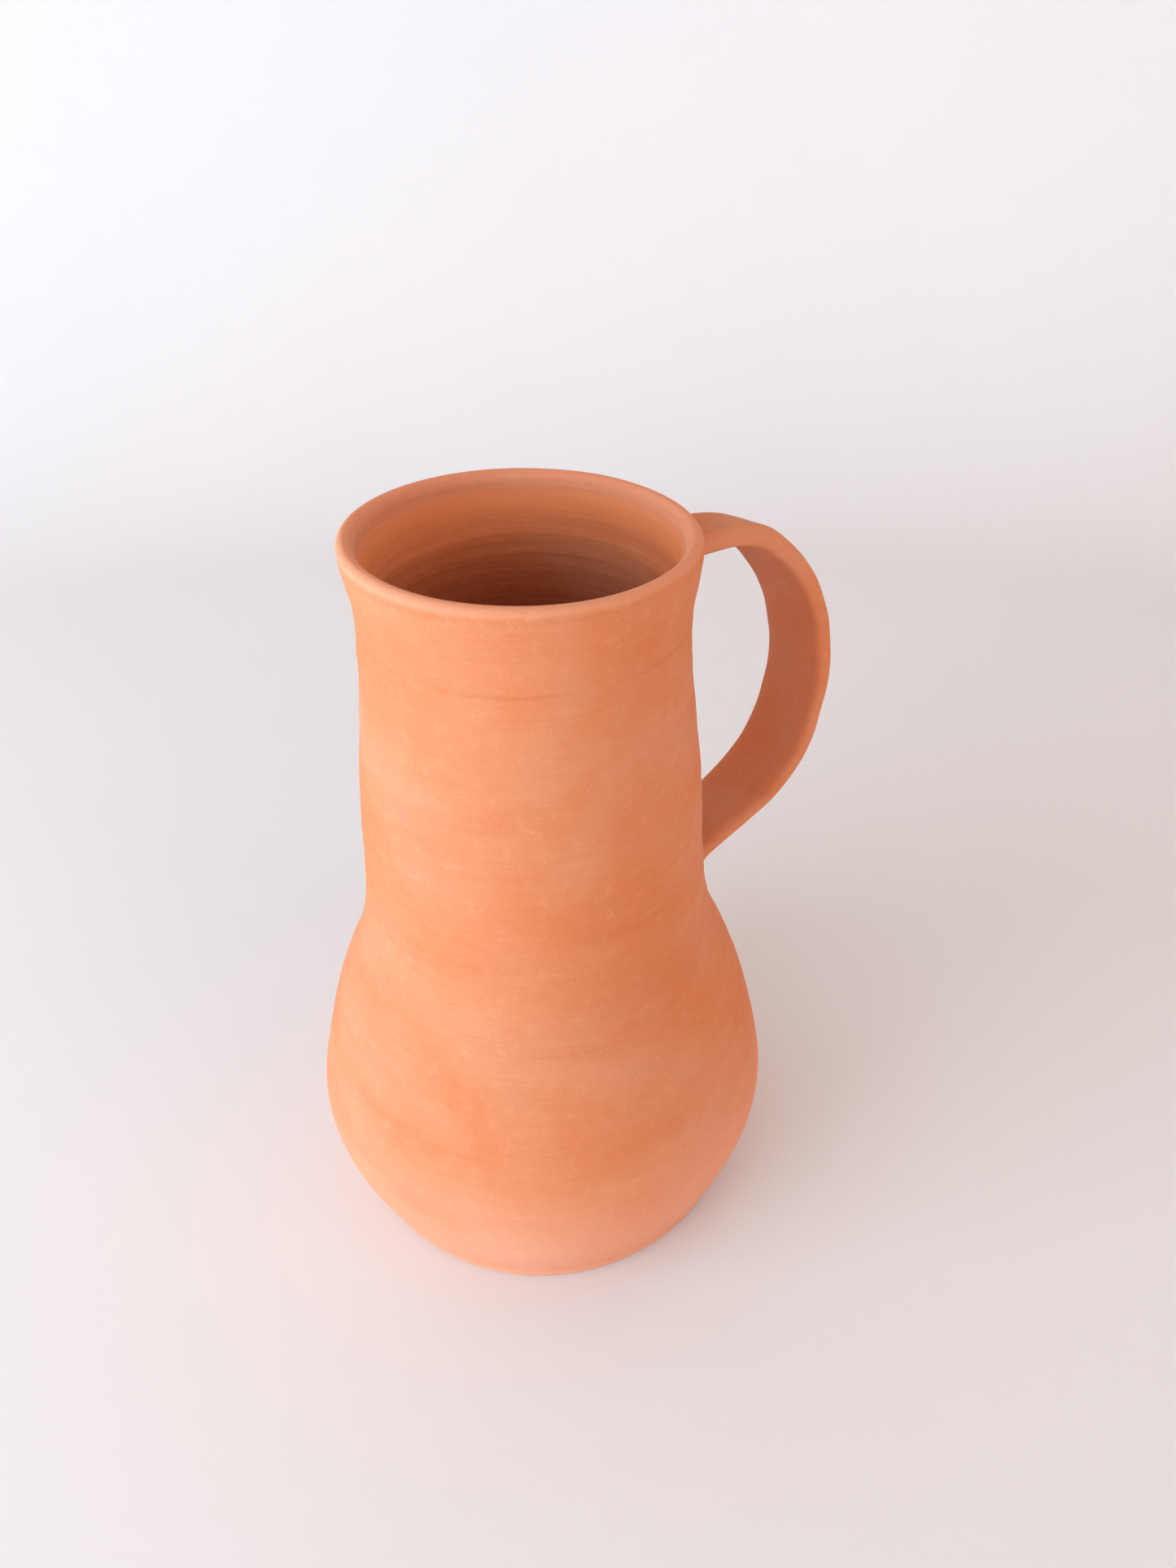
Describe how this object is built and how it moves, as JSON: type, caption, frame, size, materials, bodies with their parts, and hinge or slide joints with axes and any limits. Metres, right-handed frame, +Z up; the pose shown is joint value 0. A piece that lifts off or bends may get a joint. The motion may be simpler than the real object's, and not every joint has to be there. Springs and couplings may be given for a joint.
{
  "type": "ceramic pitcher",
  "caption": "Unglazed terracotta pitcher with a low round belly, a tall open neck with a soft flared lip, and a strap handle for pouring.",
  "frame": {"origin": "centre of the foot's flat underside", "axes": "+Z up along the vessel's axis, +X towards the handle, +Y completes a right-handed frame"},
  "size_m": [0.1778, 0.149, 0.2255],
  "materials": {
    "terracotta": "matte",
    "luting_clay": "matte"
  },
  "bodies": {
    "root": {"vessel": "terracotta", "handle": "terracotta", "upper_handle_joint": "luting_clay", "lower_handle_joint": "luting_clay"}
  },
  "joints": []
}
